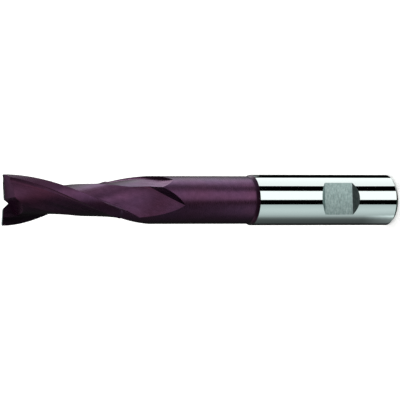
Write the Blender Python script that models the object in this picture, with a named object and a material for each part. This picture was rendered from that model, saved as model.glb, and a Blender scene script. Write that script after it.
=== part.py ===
"""Two-flute slot drill with a plain neck and a shank with one clamping flat.

The tool stands on the end of its shank: the origin is the centre of that end
face and +Z runs along the axis to the cutting end. Angles are measured round
the axis from +X, so that the first tooth starts at +X.

The flutes are cut the way a tool grinder cuts them. A grinding wheel follows
the helix up to its last place, and there it leaves its own round shape, which
is the run-out. A first pass makes the deep flute, and a second, shallower one
clears the back of the next tooth.
"""

import bpy
import bmesh
from math import ceil, cos, pi, radians, sin, sqrt, tan
from mathutils import Matrix, Vector

MM = 0.001

# Lengths along the axis
OVERALL_LENGTH = 133.4 * MM
SHANK_LENGTH = 48.6 * MM
NECK_START = 49.8 * MM
CUTTER_LENGTH = 37.1 * MM
NECK_CONE_LENGTH = 1.0 * MM

# Turned and ground diameters
CUTTER_DIAMETER = 16.0 * MM
NECK_DIAMETER = 15.05 * MM
SHANK_DIAMETER = 16.0 * MM
SHANK_CHAMFER = 1.0 * MM
CORNER_CHAMFER = 0.3 * MM

# Clamping flat of the shank
FLAT_CENTRE_HEIGHT = 20.5 * MM
FLAT_LENGTH = 9.6 * MM
FLAT_DEPTH = 1.8 * MM
FLAT_DIRECTION = radians(-86.2)
FLAT_END_SLOPE = radians(45.0)

# Helix and teeth
TEETH = 2
LEAD = 118.0 * MM

# Grinding wheel, and its setting to the tool axis
WHEEL_RADIUS = 45.0 * MM
WHEEL_TILT = radians(29.5)
WHEEL_SIDE_SLOPE = 1.27

# Each pass: depth left to the axis, where the wheel stands at last, and the
# two edges of its rim, measured along the wheel's axle from its middle plane
DEEP_PASS = {
    "core_radius": 4.38 * MM,
    "last_place": 42.5 * MM,
    "last_angle": radians(-84.6),
    "rake_edge": -4.25 * MM,
    "far_edge": 6.1 * MM,
    "side_width": 4.5 * MM,
}
BACK_PASS = {
    "core_radius": 5.1 * MM,
    "last_place": 39.7 * MM,
    "last_angle": radians(-31.5),
    "rake_edge": -6.0 * MM,
    "far_edge": 8.1 * MM,
    "side_width": 3.0 * MM,
}

# End teeth: a shallow dish, a narrow relief and a steeper clearance behind
# each edge, and a gash in front of it that runs past the centre
DISH_ANGLE = radians(3.0)
END_RELIEF_ANGLE = radians(8.0)
END_RELIEF_WIDTH = 1.0 * MM
END_CLEARANCE_ANGLE = radians(22.0)
GASH_ANGLE = radians(45.0)
GASH_FALL = radians(28.0)
GASH_PAST_MIDDLE = 0.03 * MM
LONG_TOOTH_OVERRUN = 2.9 * MM
SHORT_TOOTH_OVERRUN = 0.4 * MM

# Fineness of the faceted surface
ROUND_STEPS = 96
HELIX_STEP = 1.5 * MM
START_ROWS = 12
AHEAD_POINTS = 16
FLOOR_POINTS = 9
BEHIND_POINTS = 7

# How far cutters reach: out of the solid, along the rim, and into the wheel
CLEAR = 4.0 * MM
RIM_AHEAD = 1.5 * CUTTER_DIAMETER
RIM_BEHIND = 0.8 * CUTTER_DIAMETER
WHEEL_DEPTH = 0.75 * CUTTER_DIAMETER
MERGE_DISTANCE = 0.00001


def add_object(name, mesh):
    item = bpy.data.objects.new(name, mesh)
    bpy.context.scene.collection.objects.link(item)
    return item


def mesh_from(name, build):
    """Mesh data with outward faces, filled by the given function."""
    work = bmesh.new()
    build(work)
    bmesh.ops.recalc_face_normals(work, faces=work.faces)
    mesh = bpy.data.meshes.new(name)
    work.to_mesh(mesh)
    work.free()
    return mesh


def sheet(work, rows):
    """Faces between neighbouring rows of points."""
    rows = [[work.verts.new(point) for point in row] for row in rows]
    for lower, upper in zip(rows, rows[1:]):
        for i in range(1, len(lower)):
            work.faces.new((lower[i - 1], lower[i], upper[i], upper[i - 1]))


def prism(outline, shift):
    """Builder for a flat outline pushed along one straight line."""
    ring = outline + outline[:1]

    def build(work):
        sheet(work, [ring, [point + shift for point in ring]])
        bmesh.ops.remove_doubles(work, verts=work.verts, dist=MERGE_DISTANCE)
        bmesh.ops.holes_fill(work, edges=work.edges)
    return build


def blank_profile():
    """Outer line of the turned blank, from the tip down to the shank end."""
    cutter = CUTTER_DIAMETER / 2
    neck = NECK_DIAMETER / 2
    shank = SHANK_DIAMETER / 2
    cutter_end = OVERALL_LENGTH - CUTTER_LENGTH
    return [
        (0.0, OVERALL_LENGTH),
        (cutter - CORNER_CHAMFER, OVERALL_LENGTH),
        (cutter, OVERALL_LENGTH - CORNER_CHAMFER),
        (cutter, cutter_end),
        (neck, cutter_end - NECK_CONE_LENGTH),
        (neck, NECK_START),
        (shank, SHANK_LENGTH),
        (shank, SHANK_CHAMFER),
        (shank - SHANK_CHAMFER, 0.0),
        (0.0, 0.0),
    ]


def make_blank():
    def build(work):
        points = [work.verts.new((radius, 0.0, height)) for radius, height in blank_profile()]
        for upper, lower in zip(points, points[1:]):
            work.edges.new((upper, lower))
    mesh = mesh_from("slot_drill", build)
    blank = add_object("slot_drill", mesh)
    turn = blank.modifiers.new("turned", "SCREW")
    turn.axis = "Z"
    turn.angle = 2 * pi
    turn.steps = ROUND_STEPS
    turn.render_steps = ROUND_STEPS
    turn.use_merge_vertices = True
    turn.merge_threshold = MERGE_DISTANCE
    return blank


def wheel_frame(wheel):
    """Directions and centre of the wheel in its last place, before any copy."""
    away = Vector((cos(wheel["last_angle"]), sin(wheel["last_angle"]), 0.0))
    along = Vector((sin(wheel["last_angle"]), -cos(wheel["last_angle"]), 0.0))
    back = Vector((0.0, 0.0, -1.0))
    travel = cos(WHEEL_TILT) * back + sin(WHEEL_TILT) * along
    axle = sin(WHEEL_TILT) * back - cos(WHEEL_TILT) * along
    foot = Vector((0.0, 0.0, OVERALL_LENGTH - wheel["last_place"]))
    centre = foot + away * (wheel["core_radius"] + WHEEL_RADIUS)
    return away, travel, axle, centre


def wheel_point(wheel, width, advance, narrower=0.0):
    """Point of the wheel by its place across the rim and along its travel; on
    the sloping side the radius is narrower."""
    away, travel, axle, centre = wheel_frame(wheel)
    shrink = 1 - narrower / WHEEL_RADIUS
    height = sqrt(WHEEL_RADIUS ** 2 - advance ** 2)
    return centre + shrink * (travel * advance - away * height) + axle * width


def contact_advance(wheel, width):
    """Where along its travel the rim touches the flute that it leaves on the helix."""
    turn = 2 * pi / LEAD
    drift = (turn * wheel["core_radius"] * sin(WHEEL_TILT) + cos(WHEEL_TILT)) / WHEEL_RADIUS
    return width * turn * cos(WHEEL_TILT) / (drift + turn * sin(WHEEL_TILT))


def spaced(start, end, steps):
    return [start + (end - start) * i / steps for i in range(steps + 1)]


def rim_rows(wheel):
    """Rows of the rim from the line where it touches the flute to its front end."""
    widths = spaced(wheel["rake_edge"], wheel["far_edge"], FLOOR_POINTS)
    columns = []
    for width in widths:
        advances = spaced(contact_advance(wheel, width), RIM_AHEAD, AHEAD_POINTS)
        columns.append([wheel_point(wheel, width, advance) for advance in advances])
    return [list(row) for row in zip(*columns)]


def side_rows(wheel):
    """The far edge of the rim and the outer edge of the sloping side."""
    far = wheel["far_edge"]
    touch = contact_advance(wheel, far)
    advances = spaced(-RIM_BEHIND, touch, BEHIND_POINTS)
    advances += spaced(touch, RIM_AHEAD, AHEAD_POINTS)[1:]
    width = far + wheel["side_width"]
    narrower = wheel["side_width"] * WHEEL_SIDE_SLOPE
    inner = [wheel_point(wheel, far, advance) for advance in advances]
    outer = [wheel_point(wheel, width, advance, narrower) for advance in advances]
    return inner, outer


def screw(point, rise):
    """The point moved up along the helix."""
    return Matrix.Rotation(2 * pi * rise / LEAD, 3, "Z") @ point + Vector((0.0, 0.0, rise))


def helix_rows(ring):
    """Copies of the ring: they draw level with each other, and then they follow
    the helix out past the tip."""
    level = max(point.z for point in ring)
    rows = []
    for row in range(START_ROWS):
        rows.append([screw(point, (level - point.z) * row / START_ROWS) for point in ring])
    for step in range(ceil((OVERALL_LENGTH + CLEAR - level) / HELIX_STEP) + 1):
        rows.append([screw(point, level - point.z + step * HELIX_STEP) for point in ring])
    return rows


def pass_builder(wheel):
    """All that one pass grinds away: the groove along the helix, and in front of
    it the wheel in its last place. Both close on one hub inside the wheel."""
    hub = wheel_point(wheel, 0.0, 0.0, WHEEL_DEPTH)
    rim = rim_rows(wheel)
    inner, outer = side_rows(wheel)
    rake = [row[0] for row in reversed(rim)]
    behind = inner[:BEHIND_POINTS + 1]
    line = rake + rim[0][1:-1] + behind[::-1]
    groove = helix_rows([hub] + line + [hub])

    def build(work):
        sheet(work, groove + [[groove[-1][0]] * len(groove[-1])])
        sheet(work, rim + [[hub] * len(rim[0])])
        sheet(work, [[hub] + inner + [hub], [hub] + outer + [hub], [hub] * (len(inner) + 2)])
        bmesh.ops.remove_doubles(work, verts=work.verts, dist=MERGE_DISTANCE)
    return build


def end_relief(work):
    """Space behind one end cutting edge: relief, clearance, and the dish."""
    reach = CUTTER_DIAMETER / 2 + CLEAR
    relief_drop = END_RELIEF_WIDTH * tan(END_RELIEF_ANGLE)
    clearance_drop = (reach - END_RELIEF_WIDTH) * tan(END_CLEARANCE_ANGLE)
    section = [
        (0.0, 0.0),
        (-END_RELIEF_WIDTH, -relief_drop),
        (-reach, -relief_drop - clearance_drop),
        (-reach, CLEAR),
        (0.0, CLEAR),
    ]
    low = OVERALL_LENGTH - (CUTTER_DIAMETER / 2) * tan(DISH_ANGLE)
    high = low + reach * tan(DISH_ANGLE)

    def station(x, height):
        return [work.verts.new((x, y, height + z)) for y, z in section]
    stations = [station(-reach, high), station(0.0, low), station(reach, high)]
    work.faces.new(stations[0])
    work.faces.new(stations[-1])
    for first, second in zip(stations, stations[1:]):
        for i in range(len(section)):
            work.faces.new((first[i - 1], first[i], second[i], second[i - 1]))


def gash_builder(overrun):
    """Notch in front of one end cutting edge, open to its flute: a wall along
    the edge, and one floor that runs down outwards and falls away from the wall."""
    width = CUTTER_DIAMETER
    run = Vector((cos(GASH_ANGLE), 0.0, -sin(GASH_ANGLE)))
    start = Vector((-overrun, -GASH_PAST_MIDDLE, OVERALL_LENGTH)) - run * CLEAR
    outline = [
        start,
        start + Vector((0.0, 0.0, width)),
        start + Vector((0.0, width, width)),
        start + Vector((0.0, width, -width * tan(GASH_FALL))),
    ]
    return prism(outline, run * (CUTTER_DIAMETER + CLEAR))


def flat_builder():
    """Space over the clamping flat, with sloping ends."""
    half = FLAT_LENGTH / 2
    top = SHANK_DIAMETER / 2 + CLEAR
    bottom = SHANK_DIAMETER / 2 - FLAT_DEPTH
    spread = (top - bottom) * tan(FLAT_END_SLOPE)
    section = [
        (bottom, FLAT_CENTRE_HEIGHT - half),
        (bottom, FLAT_CENTRE_HEIGHT + half),
        (top, FLAT_CENTRE_HEIGHT + half + spread),
        (top, FLAT_CENTRE_HEIGHT - half - spread),
    ]
    outline = [Vector((radius, -SHANK_DIAMETER, height)) for radius, height in section]
    return prism(outline, Vector((0.0, 2 * SHANK_DIAMETER, 0.0)))


def cut(body, name, build, turn=0.0):
    """Take the cutter, turned round the axis, out of the body."""
    cutter = add_object(name, mesh_from(name, build))
    cutter.rotation_euler.z = turn
    cutter.display_type = "WIRE"
    cutter.hide_render = True
    taken = body.modifiers.new(name, "BOOLEAN")
    taken.operation = "DIFFERENCE"
    taken.solver = "EXACT"
    taken.object = cutter


def tool_material():
    finish = bpy.data.materials.new("coated_steel")
    finish.use_nodes = True
    shader = finish.node_tree.nodes["Principled BSDF"]
    shader.inputs["Base Color"].default_value = (0.15, 0.07, 0.13, 1.0)
    shader.inputs["Metallic"].default_value = 1.0
    shader.inputs["Roughness"].default_value = 0.3
    return finish


def build_tool():
    body = make_blank()
    body.data.materials.append(tool_material())
    overruns = (LONG_TOOTH_OVERRUN, SHORT_TOOTH_OVERRUN)
    for tooth in range(TEETH):
        turn = 2 * pi * tooth / TEETH
        for label, wheel in (("deep", DEEP_PASS), ("back", BACK_PASS)):
            cut(body, f"{label}_pass_{tooth + 1}", pass_builder(wheel), turn)
        cut(body, f"end_relief_{tooth + 1}", end_relief, turn)
        cut(body, f"end_gash_{tooth + 1}", gash_builder(overruns[tooth]), turn)
    cut(body, "clamping_flat", flat_builder(), FLAT_DIRECTION)
    return body


for item in list(bpy.data.objects):
    bpy.data.objects.remove(item)

build_tool()
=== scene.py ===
# Slot drill, dressed for its picture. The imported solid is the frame. The same tool is ground
# again here in fine steps, coated violet from the neck to the tip, and left bright on its shank.
from collections import Counter
from math import ceil, cos, pi, radians, sin, sqrt, tan

import bpy
from mathutils import Matrix, Vector


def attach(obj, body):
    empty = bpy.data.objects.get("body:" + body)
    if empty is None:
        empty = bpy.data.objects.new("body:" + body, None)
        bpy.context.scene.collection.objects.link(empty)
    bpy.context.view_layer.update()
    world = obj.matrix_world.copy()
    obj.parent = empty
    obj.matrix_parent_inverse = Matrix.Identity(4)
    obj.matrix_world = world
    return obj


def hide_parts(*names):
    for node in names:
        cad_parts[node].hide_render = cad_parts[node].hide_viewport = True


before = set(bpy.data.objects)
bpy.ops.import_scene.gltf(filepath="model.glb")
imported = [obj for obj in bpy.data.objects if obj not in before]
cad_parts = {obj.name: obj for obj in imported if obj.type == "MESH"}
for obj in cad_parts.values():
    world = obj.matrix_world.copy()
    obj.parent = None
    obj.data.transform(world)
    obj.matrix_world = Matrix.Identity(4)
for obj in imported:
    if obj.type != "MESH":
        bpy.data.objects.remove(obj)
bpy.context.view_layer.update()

mm = 0.001
weldDistance = 0.002 * mm
skin = 0.02 * mm   # how far below a turned surface a face has to lie to belong to a cut

# The turned blank, from the end of the shank to the tip
blank = {
    "overall": 133.4 * mm,
    "shankLength": 48.6 * mm,
    "neckStart": 49.8 * mm,
    "cutterLength": 37.1 * mm,
    "neckCone": 1.0 * mm,
    "cutterRadius": 8.0 * mm,
    "neckRadius": 7.525 * mm,
    "shankRadius": 8.0 * mm,
    "shankChamfer": 1.0 * mm,
    "cornerChamfer": 0.3 * mm,
    "roundSteps": 256,
    "smoothBelow": radians(16),
    "startAngle": radians(0.5),   # keeps its corners off the planes of the end teeth
}

# The grinding wheel that cuts the flutes, tilted to the tool's axis
wheelSetting = {
    "lead": 118.0 * mm,       # one turn of the flute
    "radius": 45.0 * mm,
    "tilt": radians(29.5),
    "sideSlope": 1.27,        # of the wheel's far side, radius lost over width
    "ahead": 24.0 * mm,       # how far the rim is followed in front of its foot
    "behind": 12.8 * mm,      # and behind it
    "depth": 12.0 * mm,       # from the rim to the hub that closes the cutter
    "aheadSteps": 40,
    "floorSteps": 22,
    "behindSteps": 16,
    "startRows": 40,
    "helixStep": 0.6 * mm,
    "overrun": 4.0 * mm,      # past the tip
}

# Its first pass cuts the flute, its second clears the back of the tooth behind it
deepPass = {
    "core": 4.38 * mm,
    "place": 42.5 * mm,       # from the tip
    "angle": radians(-84.6),
    "rakeEdge": -4.25 * mm,
    "farEdge": 6.1 * mm,
    "side": 4.5 * mm,
}
backPass = {
    "core": 5.1 * mm,
    "place": 39.7 * mm,
    "angle": radians(-31.5),
    "rakeEdge": -6.0 * mm,
    "farEdge": 8.1 * mm,
    "side": 3.0 * mm,
}


def deselectAll():
    bpy.ops.object.select_all(action="DESELECT")


def editMode(piece):
    deselectAll()
    piece.select_set(True)
    bpy.context.view_layer.objects.active = piece
    bpy.ops.object.mode_set(mode="EDIT")
    bpy.ops.mesh.select_all(action="SELECT")


def objectMode():
    bpy.ops.object.mode_set(mode="OBJECT")


def applyPlace(piece):
    deselectAll()
    piece.select_set(True)
    bpy.context.view_layer.objects.active = piece
    bpy.ops.object.transform_apply(location=True, rotation=True, scale=True)


def closeAndFaceOut(piece):
    editMode(piece)
    bpy.ops.mesh.remove_doubles(threshold=weldDistance)
    bpy.ops.mesh.normals_make_consistent(inside=False)
    objectMode()


# The blank, turned: a disc pulled up and scaled from station to station
def turnBlank():
    cutterEnd = blank["overall"] - blank["cutterLength"]
    stations = [
        (blank["shankRadius"] - blank["shankChamfer"], 0.0),
        (blank["shankRadius"], blank["shankChamfer"]),
        (blank["shankRadius"], blank["shankLength"]),
        (blank["neckRadius"], blank["neckStart"]),
        (blank["neckRadius"], cutterEnd - blank["neckCone"]),
        (blank["cutterRadius"], cutterEnd),
        (blank["cutterRadius"], blank["overall"] - blank["cornerChamfer"]),
        (blank["cutterRadius"] - blank["cornerChamfer"], blank["overall"]),
    ]
    deselectAll()
    bpy.ops.mesh.primitive_circle_add(
        vertices=blank["roundSteps"], radius=stations[0][0], fill_type="NGON",
        location=(0, 0, 0), rotation=(0, 0, blank["startAngle"]))
    body = bpy.context.object
    body.name = "groundSlotDrill"
    applyPlace(body)
    editMode(body)
    for (radius, height), (nextRadius, nextHeight) in zip(stations, stations[1:]):
        bpy.ops.mesh.extrude_region_move(
            TRANSFORM_OT_translate={"value": (0, 0, nextHeight - height)})
        grow = nextRadius / radius
        bpy.ops.transform.resize(value=(grow, grow, 1))
    bpy.ops.mesh.select_all(action="SELECT")
    bpy.ops.mesh.normals_make_consistent(inside=False)
    objectMode()
    return body


def wheelPoint(wheel, width, advance, narrower=0):
    # a point of the wheel in its last place: across its rim, along its travel, and deeper inside
    tilt = wheelSetting["tilt"]
    radius = wheelSetting["radius"]
    away = Vector((cos(wheel["angle"]), sin(wheel["angle"]), 0))
    along = Vector((sin(wheel["angle"]), -cos(wheel["angle"]), 0))
    back = Vector((0, 0, -1))
    travel = cos(tilt) * back + sin(tilt) * along
    axle = sin(tilt) * back - cos(tilt) * along
    foot = Vector((0, 0, blank["overall"] - wheel["place"]))
    centre = foot + away * (wheel["core"] + radius)
    spoke = travel * advance - away * sqrt(radius ** 2 - advance ** 2)
    return centre + spoke * (1 - narrower / radius) + axle * width


def contactAdvance(wheel, width):
    # how far along its travel the rim touches the flute, at a place across the rim
    turn = 2 * pi / wheelSetting["lead"]
    tilt = wheelSetting["tilt"]
    drift = (turn * wheel["core"] * sin(tilt) + cos(tilt)) / wheelSetting["radius"]
    return width * turn * cos(tilt) / (drift + turn * sin(tilt))


def spaced(start, end, steps):
    return [start + (end - start) * i / steps for i in range(steps + 1)]


def screw(point, rise):
    turned = Matrix.Rotation(2 * pi * rise / wheelSetting["lead"], 3, "Z") @ point
    return turned + Vector((0, 0, rise))


# A grid whose corners go to the given rows of points
def laidGrid(rows):
    columns = len(rows[0]) - 1
    bpy.ops.mesh.primitive_grid_add(x_subdivisions=columns, y_subdivisions=len(rows) - 1, size=1)
    grid = bpy.context.object
    for vert in grid.data.vertices:
        row = rows[round((vert.co.y + 0.5) * (len(rows) - 1))]
        vert.co = row[round((vert.co.x + 0.5) * columns)]
    return grid


# The groove that one pass leaves. It starts where the wheel touches it in its last place,
# draws level, and then follows the helix out past the tip.
def grooveRows(line):
    level = max(point.z for point in line)
    startRows, step = wheelSetting["startRows"], wheelSetting["helixStep"]
    rows = []
    for row in range(startRows):
        rows.append([screw(point, (level - point.z) * row / startRows) for point in line])
    for row in range(ceil((blank["overall"] + wheelSetting["overrun"] - level) / step) + 1):
        rows.append([screw(point, level - point.z + row * step) for point in line])
    rows.append([rows[-1][0]] * len(line))
    return rows


# All that one pass grinds away: three grids, for the groove, for the rim of the wheel in front
# of it and for its sloping side, joined and closed on a hub inside the wheel
def passCutter(wheel):
    rake, far = wheel["rakeEdge"], wheel["farEdge"]
    ahead, behind = wheelSetting["ahead"], wheelSetting["behind"]
    hub = wheelPoint(wheel, 0, 0, wheelSetting["depth"])
    rim = []
    for width in spaced(rake, far, wheelSetting["floorSteps"]):
        advances = spaced(contactAdvance(wheel, width), ahead, wheelSetting["aheadSteps"])
        rim.append([wheelPoint(wheel, width, advance) for advance in advances])
    touch = contactAdvance(wheel, far)
    trail = spaced(-behind, touch, wheelSetting["behindSteps"])
    advances = trail + spaced(touch, ahead, wheelSetting["aheadSteps"])[1:]
    outer, narrower = far + wheel["side"], wheel["side"] * wheelSetting["sideSlope"]
    side = [
        [hub] + [wheelPoint(wheel, far, advance) for advance in advances] + [hub],
        [hub] + [wheelPoint(wheel, outer, advance, narrower) for advance in advances] + [hub],
        [hub] * (len(advances) + 2),
    ]
    floorLine = [column[0] for column in rim]
    line = [hub] + rim[0][:0:-1] + floorLine
    line += [wheelPoint(wheel, far, advance) for advance in trail[-2::-1]] + [hub]
    deselectAll()
    front = [list(row) for row in zip(*rim)] + [[hub] * len(rim)]
    grids = [laidGrid(rows) for rows in (grooveRows(line), front, side)]
    for grid in grids:
        grid.select_set(True)
    bpy.ops.object.join()
    cutter = bpy.context.object
    closeAndFaceOut(cutter)
    return cutter


# The two end teeth: each dished, relieved and cleared behind its edge, and gashed before it
ends = {
    "dish": radians(3.0),
    "relief": radians(8.0),
    "reliefWidth": 1.0 * mm,
    "clearance": radians(22.0),
    "gash": radians(45.0),
    "gashFall": radians(28.0),
    "gashRake": radians(11.0),           # the tooth's face leans back into it below its edge
    "pastMiddle": 0.03 * mm,
    "overruns": (2.9 * mm, 0.4 * mm),    # one gash runs well past the tool's middle
    "clear": 4.0 * mm,
}

# The flat that the side screw of a holder presses on
flat = {
    "height": 20.5 * mm,
    "length": 9.6 * mm,
    "depth": 1.8 * mm,
    "direction": radians(-86.2),
    "endSlope": radians(45.0),
    "clear": 4.0 * mm,
}


# The space over one end tooth: a sheet bent to its relief and clearance, pulled up
def reliefCutter():
    reach = blank["cutterRadius"] + ends["clear"]
    drops = [
        (-reach, -ends["reliefWidth"] * tan(ends["relief"])
            - (reach - ends["reliefWidth"]) * tan(ends["clearance"])),
        (-ends["reliefWidth"], -ends["reliefWidth"] * tan(ends["relief"])),
        (0.0, 0.0),
    ]
    low = blank["overall"] - blank["cutterRadius"] * tan(ends["dish"])
    deselectAll()
    bpy.ops.mesh.primitive_grid_add(x_subdivisions=2, y_subdivisions=2, size=2)
    cutter = bpy.context.object
    for vert in cutter.data.vertices:
        y, drop = drops[round(vert.co.y) + 1]
        x = vert.co.x * reach
        vert.co = (x, y, low + abs(x) * tan(ends["dish"]) + drop)
    editMode(cutter)
    bpy.ops.mesh.extrude_region_move(TRANSFORM_OT_translate={"value": (0, 0, reach)})
    bpy.ops.mesh.select_all(action="SELECT")
    bpy.ops.mesh.normals_make_consistent(inside=False)
    objectMode()
    return cutter


# A cube drawn out to a four-cornered section and a shift
def prismCutter(section, shift):
    deselectAll()
    bpy.ops.mesh.primitive_cube_add(size=2)
    cutter = bpy.context.object
    corners = {(-1, -1): 0, (1, -1): 1, (1, 1): 2, (-1, 1): 3}
    for vert in cutter.data.vertices:
        corner = section[corners[(round(vert.co.x), round(vert.co.y))]]
        vert.co = corner + shift * (vert.co.z + 1) / 2
    closeAndFaceOut(cutter)
    return cutter


def gashCutter(overrun):
    width = 2 * blank["cutterRadius"]
    lean = tan(ends["gashRake"])
    run = Vector((cos(ends["gash"]), -sin(ends["gash"]) * lean, -sin(ends["gash"])))
    start = Vector((-overrun, -ends["pastMiddle"], blank["overall"])) - run * ends["clear"]
    section = [
        start,
        start + Vector((0, width * lean, width)),
        start + Vector((0, width * (1 + lean), width)),
        start + Vector((0, width, -width * tan(ends["gashFall"]))),
    ]
    return prismCutter(section, run * (width + ends["clear"]))


def flatCutter():
    half = flat["length"] / 2
    bottom = blank["shankRadius"] - flat["depth"]
    top = blank["shankRadius"] + flat["clear"]
    flare = (top - bottom) * tan(flat["endSlope"])
    section = [
        Vector((bottom, -top, flat["height"] - half)),
        Vector((bottom, -top, flat["height"] + half)),
        Vector((top, -top, flat["height"] + half + flare)),
        Vector((top, -top, flat["height"] - half - flare)),
    ]
    return prismCutter(section, Vector((0, 2 * top, 0)))


def openEdges(piece):
    uses = Counter(edge for face in piece.data.polygons for edge in face.edge_keys)
    return sum(1 for count in uses.values() if count != 2)


def grind(body, cutters):
    # all cutters at once, so that no rounding comes between two cuts
    grinding = bpy.data.collections.new("grinding")
    bpy.context.scene.collection.children.link(grinding)
    for cutter in cutters:
        print("cutter of", len(cutter.data.polygons), "faces,", openEdges(cutter), "open edges")
        grinding.objects.link(cutter)
    deselectAll()
    body.select_set(True)
    bpy.context.view_layer.objects.active = body
    bpy.ops.object.modifier_add(type="BOOLEAN")
    taken = body.modifiers[-1]
    taken.operation = "DIFFERENCE"
    taken.solver = "EXACT"
    taken.operand_type = "COLLECTION"
    taken.collection = grinding
    bpy.ops.object.modifier_apply(modifier=taken.name)
    for cutter in cutters:
        bpy.data.objects.remove(cutter)
    bpy.data.collections.remove(grinding)
    print("ground,", len(body.data.polygons), "faces,", openEdges(body), "open edges")


# The tool, ground from its blank: both passes, relief and gash for each tooth, then the flat
def makeTool():
    body = turnBlank()
    print("blank turned")
    cutters = []
    for tooth, overrun in enumerate(ends["overruns"]):
        for cutter in (passCutter(deepPass), passCutter(backPass), reliefCutter(),
                       gashCutter(overrun)):
            cutter.rotation_euler.z = pi * tooth
            applyPlace(cutter)
            cutters.append(cutter)
    flatSpace = flatCutter()
    flatSpace.rotation_euler.z = flat["direction"]
    applyPlace(flatSpace)
    grind(body, cutters + [flatSpace])
    closeAndFaceOut(body)
    deselectAll()
    body.select_set(True)
    bpy.context.view_layer.objects.active = body
    bpy.ops.object.shade_smooth_by_angle(angle=blank["smoothBelow"])
    print("tool ground,", len(body.data.polygons), "faces,", openEdges(body), "open edges")
    return body


def linear(hexColour):
    # an sRGB hex colour as the shader needs it
    parts = [int(hexColour[i:i + 2], 16) / 255 for i in (1, 3, 5)]
    return [c / 12.92 if c <= 0.04045 else ((c + 0.055) / 1.055) ** 2.4 for c in parts] + [1.0]


def addNode(tree, kind, inputs=None, **settings):
    node = tree.nodes.new(kind)
    for name, value in settings.items():
        setattr(node, name, value)
    for name, value in (inputs or {}).items():
        if isinstance(value, bpy.types.NodeSocket):
            tree.links.new(value, node.inputs[name])
        else:
            node.inputs[name].default_value = value
    return node


def newMaterial(name):
    material = bpy.data.materials.new(name)
    material.use_nodes = True
    tree = material.node_tree
    return material, tree, tree.nodes["Principled BSDF"]


noiseMiddle = (0.3, 0.7)


# Noise on the object's own coordinates, or on others, with grains of a size for each axis in mm
def grain(tree, sizes, detail, place=None):
    place = place or addNode(tree, "ShaderNodeTexCoord").outputs["Object"]
    scales = [1 / (size * mm) for size in sizes]
    stretched = addNode(tree, "ShaderNodeVectorMath", {0: place, 1: scales}, operation="MULTIPLY")
    noise = addNode(tree, "ShaderNodeTexNoise",
                    {"Vector": stretched.outputs[0], "Scale": 1.0, "Detail": detail})
    return noise.outputs[0]


def spread(tree, value, low, high):
    # the middle of a noise, spread out between two values
    return addNode(tree, "ShaderNodeMapRange", {
        "Value": value, "From Min": noiseMiddle[0], "From Max": noiseMiddle[1],
        "To Min": low, "To Max": high}).outputs[0]


def helixPlace(tree):
    # the object's own coordinates, turned back along the helix, so that its flutes run straight
    place = addNode(tree, "ShaderNodeTexCoord").outputs["Object"]
    height = addNode(tree, "ShaderNodeSeparateXYZ", {0: place}).outputs["Z"]
    turn = addNode(tree, "ShaderNodeMath", {0: height, 1: -2 * pi / wheelSetting["lead"]},
                   operation="MULTIPLY").outputs[0]
    return addNode(tree, "ShaderNodeVectorRotate", {"Vector": place, "Angle": turn},
                   rotation_type="Z_AXIS").outputs[0]


# Grinding lines, as long and wide as given, with the roughness they spread and their depth. The
# real ones are a few hundredths of a millimetre wide, and are drawn coarser so that they show.
groundLines = {
    "round": {
        "size": (16.7, 16.7, 0.3333), "detail": 3.0, "roughness": (0.265, 0.285), "lift": 0.015},
    "flute": {"size": (0.714, 0.714, 20.0), "detail": 2.0, "roughness": (0.2, 0.34), "lift": 0.1},
    "shank": {"size": (50.0, 50.0, 0.4), "detail": 3.0, "roughness": (0.03, 0.06)},
    "flat": {"size": (2.0, 2.0, 0.1923), "detail": 2.0, "roughness": 0.38, "lift": 0.2},
    "hone": {"size": (0.4, 0.4, 0.4), "detail": 2.0, "roughness": (0.16, 0.24)},
    "depth": 0.02 * mm,
}
coating = {
    "reddish": "#5d3a52",
    "bluish": "#573b57",
    "driftSize": (11.1, 11.1, 16.7),
    "mottleSize": (1.25, 1.25, 1.667),
    "mottle": (0.88, 1.12),
    "detail": 3.0,
    "fade": (blank["shankLength"] + 0.6 * mm, blank["neckStart"] + 0.8 * mm),
    "atFadeEnd": 0.3,
}
steel = {
    "shank": "#c9d2d0",
    "flatDark": "#788d8a",
    "flatLight": "#9fb2b0",
    "speckSize": (0.588, 0.588, 0.588),
    "speck": (0.84, 1.16),
    "speckDetail": 2.0,
    "honed": "#909396",
}


def liftLines(tree, shader, lines, lift):
    bump = addNode(tree, "ShaderNodeBump",
                   {"Height": lines, "Strength": lift, "Distance": groundLines["depth"]})
    tree.links.new(bump.outputs[0], shader.inputs["Normal"])


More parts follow.
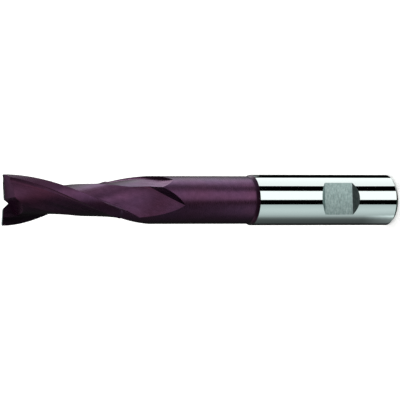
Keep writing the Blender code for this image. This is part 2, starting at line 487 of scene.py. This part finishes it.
# Violet aluminium titanium nitride coating over ground steel: a dark metallic film, silky, its
# hue drifting a little, with a fine mottle and the faint lines of the grinding below it, which
# run round the tool on its neck and lands, and along the helix in its flutes. The film is
# darker where it ends at the shank.
def violetNitrideCoating(name, ground):
    material, tree, shader = newMaterial(name)
    drift = grain(tree, coating["driftSize"], coating["detail"])
    film = addNode(tree, "ShaderNodeMix", {
        0: spread(tree, drift, 0.0, 1.0), 6: linear(coating["reddish"]),
        7: linear(coating["bluish"])}, data_type="RGBA")
    mottle = grain(tree, coating["mottleSize"], coating["detail"])
    place = addNode(tree, "ShaderNodeTexCoord").outputs["Object"]
    fadeStart, fadeEnd = coating["fade"]
    fade = addNode(tree, "ShaderNodeMapRange", {
        "Value": addNode(tree, "ShaderNodeSeparateXYZ", {0: place}).outputs["Z"],
        "From Min": fadeStart, "From Max": fadeEnd, "To Min": coating["atFadeEnd"], "To Max": 1.0})
    value = addNode(tree, "ShaderNodeMath",
                    {0: spread(tree, mottle, *coating["mottle"]), 1: fade.outputs[0]},
                    operation="MULTIPLY")
    shaded = addNode(tree, "ShaderNodeHueSaturation",
                     {"Color": film.outputs[2], "Value": value.outputs[0]})
    tree.links.new(shaded.outputs[0], shader.inputs["Base Color"])
    straightened = helixPlace(tree) if ground == "flute" else None
    lines = grain(tree, groundLines[ground]["size"], groundLines[ground]["detail"], straightened)
    tree.links.new(spread(tree, lines, *groundLines[ground]["roughness"]), shader.inputs["Roughness"])
    liftLines(tree, shader, lines, groundLines[ground]["lift"])
    shader.inputs["Metallic"].default_value = 1.0
    return material


# Cylindrically ground and finished tool steel: nearly a mirror, with the faintest rings
def groundShankSteel():
    material, tree, shader = newMaterial("groundShankSteel")
    rings = grain(tree, groundLines["shank"]["size"], groundLines["shank"]["detail"])
    roughness = spread(tree, rings, *groundLines["shank"]["roughness"])
    tree.links.new(roughness, shader.inputs["Roughness"])
    shader.inputs["Base Color"].default_value = linear(steel["shank"])
    shader.inputs["Metallic"].default_value = 1.0
    return material


# The flat, surface ground across the shank: fine short lines across it and a fine mottle, a
# duller blue-grey
def groundFlatSteel():
    material, tree, shader = newMaterial("groundFlatSteel")
    lines = grain(tree, groundLines["flat"]["size"], groundLines["flat"]["detail"])
    speck = grain(tree, steel["speckSize"], steel["speckDetail"])
    tone = addNode(tree, "ShaderNodeMix", {
        0: spread(tree, lines, 0.0, 1.0), 6: linear(steel["flatDark"]),
        7: linear(steel["flatLight"])}, data_type="RGBA")
    shaded = addNode(tree, "ShaderNodeHueSaturation",
                     {"Color": tone.outputs[2], "Value": spread(tree, speck, *steel["speck"])})
    tree.links.new(shaded.outputs[0], shader.inputs["Base Color"])
    liftLines(tree, shader, lines, groundLines["flat"]["lift"])
    shader.inputs["Metallic"].default_value = 1.0
    shader.inputs["Roughness"].default_value = groundLines["flat"]["roughness"]
    return material


# The narrow reliefs of the end teeth, honed bright after coating
def honedEdgeSteel():
    material, tree, shader = newMaterial("honedEdgeSteel")
    lines = grain(tree, groundLines["hone"]["size"], groundLines["hone"]["detail"])
    tree.links.new(spread(tree, lines, *groundLines["hone"]["roughness"]), shader.inputs["Roughness"])
    shader.inputs["Base Color"].default_value = linear(steel["honed"])
    shader.inputs["Metallic"].default_value = 1.0
    return material


# How squarely a face looks along the flat's own direction, or along the tool's axis
facing = {"flatFloor": 0.9999, "flatWall": 0.3, "endTeeth": 0.8}


def dressTool(body):
    finishes = {
        "coated": violetNitrideCoating("violetNitrideCoating", "round"),
        "shank": groundShankSteel(),
        "flat": groundFlatSteel(),
        "flute": violetNitrideCoating("violetNitrideOnFlute", "flute"),
        "relief": honedEdgeSteel(),
    }
    for material in finishes.values():
        body.data.materials.append(material)
    places = list(finishes)
    outward = Vector((cos(flat["direction"]), sin(flat["direction"]), 0))
    for face in body.data.polygons:
        centre, normal = face.center, face.normal
        if centre.z < blank["shankLength"]:
            nearFlat = abs(centre.z - flat["height"]) < flat["length"]
            onWall = nearFlat and abs(normal.z) > facing["flatWall"]
            onFloor = normal.dot(outward) > facing["flatFloor"]
            belowShank = centre.dot(outward) < blank["shankRadius"] - skin
            finish = "flat" if belowShank and (onWall or onFloor) else "shank"
        elif centre.xy.length < blank["neckRadius"] - skin and normal.z < facing["endTeeth"]:
            finish = "flute"
        elif normal.z > cos(ends["relief"] + ends["dish"]):
            finish = "relief"
        else:
            finish = "coated"
        face.material_index = places.index(finish)
    print("finishes on")


# Studio. Each wall of the room is a row of soft panels that the tool mirrors: the angle round
# the tool, from the camera's side towards the picture's top, with the brightness there and a
# tint if it has one. The walls stand at rising heights, given as the upward part of the
# direction towards them.
coolTint = "#e2fff7"
rosyTint = "#ffe0dc"
darkTint = "#d6ffe4"
studio = {
    "elevation": radians(24.5),
    "distance": 1.95,
    "aimHeight": 66.0 * mm,
    "lens": 558.0,
    "walls": [
        (-0.88, [(-180, 0.05, darkTint), (60, 0.05, darkTint), (110, 0.5), (180, 0.03)]),
        (-0.65, [
            (-180, 0.04, darkTint), (-5, 0.04, darkTint), (12, 0.1), (30, 0.75), (50, 0.8), (70, 0.35),
            (108, 0.9), (128, 4.0, coolTint), (150, 1.5), (180, 0.03),
        ]),
        (-0.415, [
            (-180, 0.0), (-150, 0.01), (-130, 0.04), (-108, 0.11), (-77, 0.22), (-55, 0.23),
            (-38, 0.12), (-24, 0.08), (-14, 0.08), (-5, 0.32), (4, 1.1), (28, 1.45), (40, 1.2),
            (49, 0.38), (62, 0.22), (76, 1.0, coolTint), (90, 2.6, coolTint), (103, 2.75, coolTint),
            (122, 1.4, coolTint), (136, 0.34), (152, 0.07), (166, 0.01), (180, 0.0),
        ]),
        (-0.31, [
            (-180, 0.02), (-110, 0.08, darkTint), (-60, 0.16, darkTint), (-30, 0.15),
            (-8, 0.38, rosyTint), (5, 0.78), (25, 1.35), (50, 1.35), (64, 0.5), (78, 0.45),
            (90, 1.6, coolTint), (105, 2.9, coolTint), (128, 2.0, coolTint), (145, 0.6), (180, 0.05),
        ]),
        (-0.19, [
            (-180, 0.04), (-110, 0.06, darkTint), (-60, 0.07, darkTint), (-30, 0.1),
            (-5, 0.48, rosyTint), (18, 0.2, rosyTint), (32, 0.06, rosyTint), (52, 0.06), (75, 0.32),
            (95, 1.4, coolTint), (125, 2.75), (150, 1.3), (180, 0.1),
        ]),
        (-0.06, [
            (-180, 1.0), (-150, 0.4), (-120, 0.14), (-60, 0.05), (-38, 0.15), (-20, 0.56, rosyTint),
            (0, 0.58, rosyTint), (20, 0.66, rosyTint), (40, 0.42, rosyTint), (60, 0.5), (90, 1.0),
            (125, 2.0), (150, 1.4), (180, 1.0),
        ]),
        (0.08, [
            (-180, 0.9, coolTint), (-150, 0.8, coolTint), (-125, 0.85, rosyTint), (-60, 0.92),
            (-10, 0.8, rosyTint), (40, 0.95), (90, 0.75), (140, 1.0, coolTint), (180, 0.9, coolTint),
        ]),
        (0.25, [
            (-180, 0.7), (-150, 0.5), (-125, 0.16), (-80, 0.08), (-60, 0.09), (-10, 0.22), (10, 0.5),
            (40, 0.12), (110, 1.6, coolTint), (150, 0.6), (180, 0.7),
        ]),
        (0.5, [(-180, 0.03), (40, 0.02), (100, 0.4), (180, 0.03)]),
        (0.75, [(-180, 0.03), (-60, 0.02), (60, 0.02), (180, 0.03)]),
        (0.84, [(-180, 0.6), (-120, 0.4), (-60, 0.1), (60, 0.1), (120, 0.4), (180, 0.6)]),
    ],
    "brightest": 4.0,
    "fill": 0.55,
    "floorColour": "#f4f4f2",
    "floorRoughness": 0.9,
    "floorGlow": 0.45,
    "floorSize": 12.0,
    "lampPlace": (0.1, 0.5, 1.6),
    "lampSize": 1.2,
    "lampPower": 14.0,
}

# The card round the shank, mirrored by the shank alone: near white, with black strips between.
# It lies on the floor all round: each of its rays starts where the shank mirrors one direction,
# and ends where the top of the shank sees it.
cardTint = "#f3ffff"
card = {
    "reach": 1.05 * blank["shankLength"] / tan(studio["elevation"]),
    "rows": 24,
    "lift": 0.2 * mm,
    "seenWithin": 128.0 * mm,        # so that the end of the tip doesn't mirror it
    "lighterFor": (-150, -80),       # it is lighter near the shank, over these angles
    "lighterWithin": 0.2,            # of its reach
    "lighterBy": 1.8,
    "panels": [
        (-180, 0.0), (-156, 0.0), (-140, 0.03, cardTint), (-128, 0.08, cardTint),
        (-103, 0.12, cardTint), (-90, 0.24, cardTint), (-83, 0.46, cardTint), (-72, 0.69, cardTint),
        (-61, 0.83, cardTint), (-50, 0.92, cardTint), (-40, 0.9, cardTint), (-26.8, 0.8, cardTint),
        (-21.5, 0.7, cardTint), (-20.3, 0.0), (0.2, 0.0), (1.4, 1.6), (41, 1.6), (42, 0.0),
        (66.6, 0.0), (67.6, 1.55), (73, 1.4), (90, 1.48), (104, 1.55), (112, 1.65), (121.5, 1.65),
        (123, 0.0), (180, 0.0),
    ],
}

# Two dim flags above the tip keep the bright panels off the lands and off the flute there
flags = {
    "away": 40.0 * mm,
    "sheets": [
        {"sides": (-28.0 * mm, 44.0 * mm), "heights": (95.0 * mm, 121.0 * mm), "light": 0.5},
        {"sides": (-26.0 * mm, 5.0 * mm), "heights": (78.0 * mm, 95.0 * mm), "light": 0.75},
    ],
}


def makeCamera():
    elevation = studio["elevation"]
    bpy.ops.object.camera_add()
    camera = bpy.context.object
    camera.name = "photoCamera"
    camera.data.lens = studio["lens"]
    aside = Vector((0, -sin(elevation), -cos(elevation)))
    up = Vector((1, 0, 0))
    back = Vector((0, -cos(elevation), sin(elevation)))
    stand = Vector((0, 0, studio["aimHeight"])) + back * studio["distance"]
    camera.matrix_world = Matrix.Translation(stand) @ Matrix((aside, up, back)).transposed().to_4x4()
    bpy.context.scene.camera = camera


def tinted(light, tint):
    tone = linear(*tint) if tint else linear("#ffffff")
    return [channel * light for channel in tone[:3]] + [1]


def wallRamp(tree, share, panels):
    ramp = addNode(tree, "ShaderNodeValToRGB", {"Fac": share})
    stops = ramp.color_ramp.elements
    stops.remove(stops[-1])
    for index, (angle, light, *tint) in enumerate(panels):
        place = (angle + 180) / 360
        stop = stops.new(place) if index else stops[0]
        stop.position = place
        stop.color = tinted(light / studio["brightest"], tint)
    return ramp.outputs["Color"]


def stageForMirrors(sheet):
    # only what the tool mirrors shows this piece of the studio
    sheet.visible_camera = False
    sheet.visible_diffuse = False
    sheet.visible_shadow = False


def makeCard():
    count = len(card["panels"]) - 1
    deselectAll()
    bpy.ops.mesh.primitive_grid_add(x_subdivisions=count, y_subdivisions=card["rows"], size=2)
    sheet = bpy.context.object
    sheet.name = "shankCard"
    shade = sheet.data.color_attributes.new("brightness", "FLOAT_COLOR", "POINT")
    first, last = card["lighterFor"]
    for vert in sheet.data.vertices:
        angle, light, *tint = card["panels"][round((vert.co.x + 1) / 2 * count)]
        share = (vert.co.y + 1) / 2
        if first < angle < last:
            light *= 1 + card["lighterBy"] * max(0, 1 - share / card["lighterWithin"])
        mirrored = Vector((sin(radians(angle)), -cos(radians(angle)), 0))
        normal = Vector((sin(radians(angle / 2)), -cos(radians(angle / 2)), 0))
        start = normal * blank["shankRadius"] + Vector((0, 0, card["lift"]))
        vert.co = start + mirrored * card["reach"] * share
        shade.data[vert.index].color = tinted(light, tint)
    material, tree = newMaterial("shankCard")[:2]
    glow = addNode(tree, "ShaderNodeVertexColor", layer_name="brightness")
    light = addNode(tree, "ShaderNodeEmission", {"Color": glow.outputs["Color"], "Strength": 1.0})
    ray = addNode(tree, "ShaderNodeLightPath").outputs
    near = addNode(tree, "ShaderNodeMath", {0: ray["Ray Length"], 1: card["seenWithin"]},
                   operation="LESS_THAN")
    clear = addNode(tree, "ShaderNodeBsdfTransparent")
    shown = addNode(tree, "ShaderNodeMixShader",
                    {0: near.outputs[0], 1: clear.outputs[0], 2: light.outputs[0]})
    tree.links.new(shown.outputs[0], tree.nodes["Material Output"].inputs["Surface"])
    sheet.data.materials.append(material)
    stageForMirrors(sheet)


def makeFlags():
    for place in flags["sheets"]:
        (near, far), (low, high) = place["sides"], place["heights"]
        middle = (flags["away"], (near + far) / 2, (low + high) / 2)
        deselectAll()
        bpy.ops.mesh.primitive_plane_add(size=1, location=middle, rotation=(0, pi / 2, 0))
        sheet = bpy.context.object
        sheet.name = "tipFlag"
        sheet.scale = (high - low, far - near, 1)
        applyPlace(sheet)
        material, tree, shader = newMaterial("tipFlag")
        shader.inputs["Base Color"].default_value = (0, 0, 0, 1)
        shader.inputs["Specular IOR Level"].default_value = 0.0
        shader.inputs["Emission Color"].default_value = (1, 1, 1, 1)
        shader.inputs["Emission Strength"].default_value = place["light"]
        sheet.data.materials.append(material)
        stageForMirrors(sheet)


def makeRoom():
    world = bpy.data.worlds.new("studioRoom")
    bpy.context.scene.world = world
    world.use_nodes = True
    tree = world.node_tree
    tree.nodes.clear()
    ray = addNode(tree, "ShaderNodeLightPath").outputs
    direction = addNode(tree, "ShaderNodeSeparateXYZ",
                        {0: addNode(tree, "ShaderNodeTexCoord").outputs["Generated"]}).outputs
    towards = addNode(tree, "ShaderNodeMath", {0: direction["Y"], 1: -1.0}, operation="MULTIPLY")
    azimuth = addNode(tree, "ShaderNodeMath", {0: direction["X"], 1: towards.outputs[0]},
                      operation="ARCTAN2")
    share = addNode(tree, "ShaderNodeMapRange",
                    {"Value": azimuth.outputs[0], "From Min": -pi, "From Max": pi}).outputs[0]
    lowest, panels = studio["walls"][0]
    light = wallRamp(tree, share, panels)
    for height, panels in studio["walls"][1:]:
        rise = addNode(tree, "ShaderNodeMapRange",
                       {"Value": direction["Z"], "From Min": lowest, "From Max": height})
        wall = wallRamp(tree, share, panels)
        blend = addNode(tree, "ShaderNodeMix", {0: rise.outputs[0], 6: light, 7: wall},
                        data_type="RGBA")
        light, lowest = blend.outputs[2], height
    walls = addNode(tree, "ShaderNodeBackground", {"Color": light, "Strength": studio["brightest"]})
    fill = addNode(tree, "ShaderNodeBackground", {"Color": (1, 1, 1, 1), "Strength": studio["fill"]})
    plain = addNode(tree, "ShaderNodeBackground", {"Color": (1, 1, 1, 1), "Strength": 1.0})
    lit = addNode(tree, "ShaderNodeMixShader",
                  {0: ray["Is Glossy Ray"], 1: fill.outputs[0], 2: walls.outputs[0]})
    seen = addNode(tree, "ShaderNodeMixShader",
                   {0: ray["Is Camera Ray"], 1: lit.outputs[0], 2: plain.outputs[0]})
    addNode(tree, "ShaderNodeOutputWorld", {"Surface": seen.outputs[0]})


def makeFloor():
    deselectAll()
    bpy.ops.mesh.primitive_plane_add(size=studio["floorSize"], location=(0, 0, 0))
    floor = bpy.context.object
    floor.name = "studioFloor"
    floor.visible_glossy = False
    material, tree, shader = newMaterial("paleFloor")
    shader.inputs["Base Color"].default_value = linear(studio["floorColour"])
    shader.inputs["Roughness"].default_value = studio["floorRoughness"]
    shader.inputs["Emission Color"].default_value = (1, 1, 1, 1)
    ray = addNode(tree, "ShaderNodeLightPath").outputs
    glow = addNode(tree, "ShaderNodeMath", {0: ray["Is Camera Ray"], 1: studio["floorGlow"]},
                   operation="MULTIPLY")
    tree.links.new(glow.outputs[0], shader.inputs["Emission Strength"])
    floor.data.materials.append(material)


def makeLamp():
    bpy.ops.object.light_add(type="AREA", location=studio["lampPlace"])
    lamp = bpy.context.object
    lamp.name = "softBox"
    lamp.data.size = studio["lampSize"]
    lamp.data.energy = studio["lampPower"]
    lamp.visible_glossy = False
    lamp.rotation_euler = lamp.location.to_track_quat("Z", "Y").to_euler()


bpy.context.scene.view_settings.view_transform = "Standard"
makeCamera()
makeRoom()
makeFloor()
makeCard()
makeFlags()
makeLamp()
print("studio ready")

tool = makeTool()
dressTool(tool)
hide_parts("slot_drill")
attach(tool, "root")
